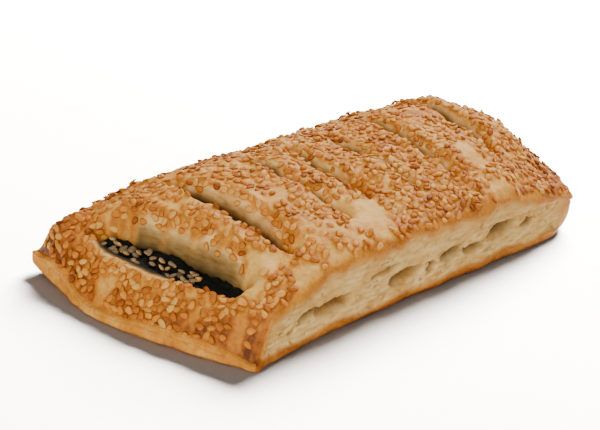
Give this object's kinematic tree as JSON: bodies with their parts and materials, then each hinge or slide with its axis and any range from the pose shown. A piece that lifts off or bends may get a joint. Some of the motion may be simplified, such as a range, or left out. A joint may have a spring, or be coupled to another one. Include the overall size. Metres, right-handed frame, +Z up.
{
  "type": "strudel",
  "caption": "Rectangular puff-pastry strudel with sesame on its domed crust, slits across the top, flaky cut sides and a spinach filling that shows in the open slits.",
  "frame": {"origin": "middle of the strudel's box, at the height of the surface that it rests on", "axes": "+X along the strudel to its higher end, -X at the widest slit, -Y at the front cut side, +Z up"},
  "size_m": [0.1856, 0.0858, 0.0342],
  "materials": {
    "baked_pastry": "baked, dry, slightly satin on top",
    "spinach": "cooked and moist"
  },
  "bodies": {
    "root": {"pastry": "baked_pastry", "filling": "spinach"}
  },
  "joints": []
}
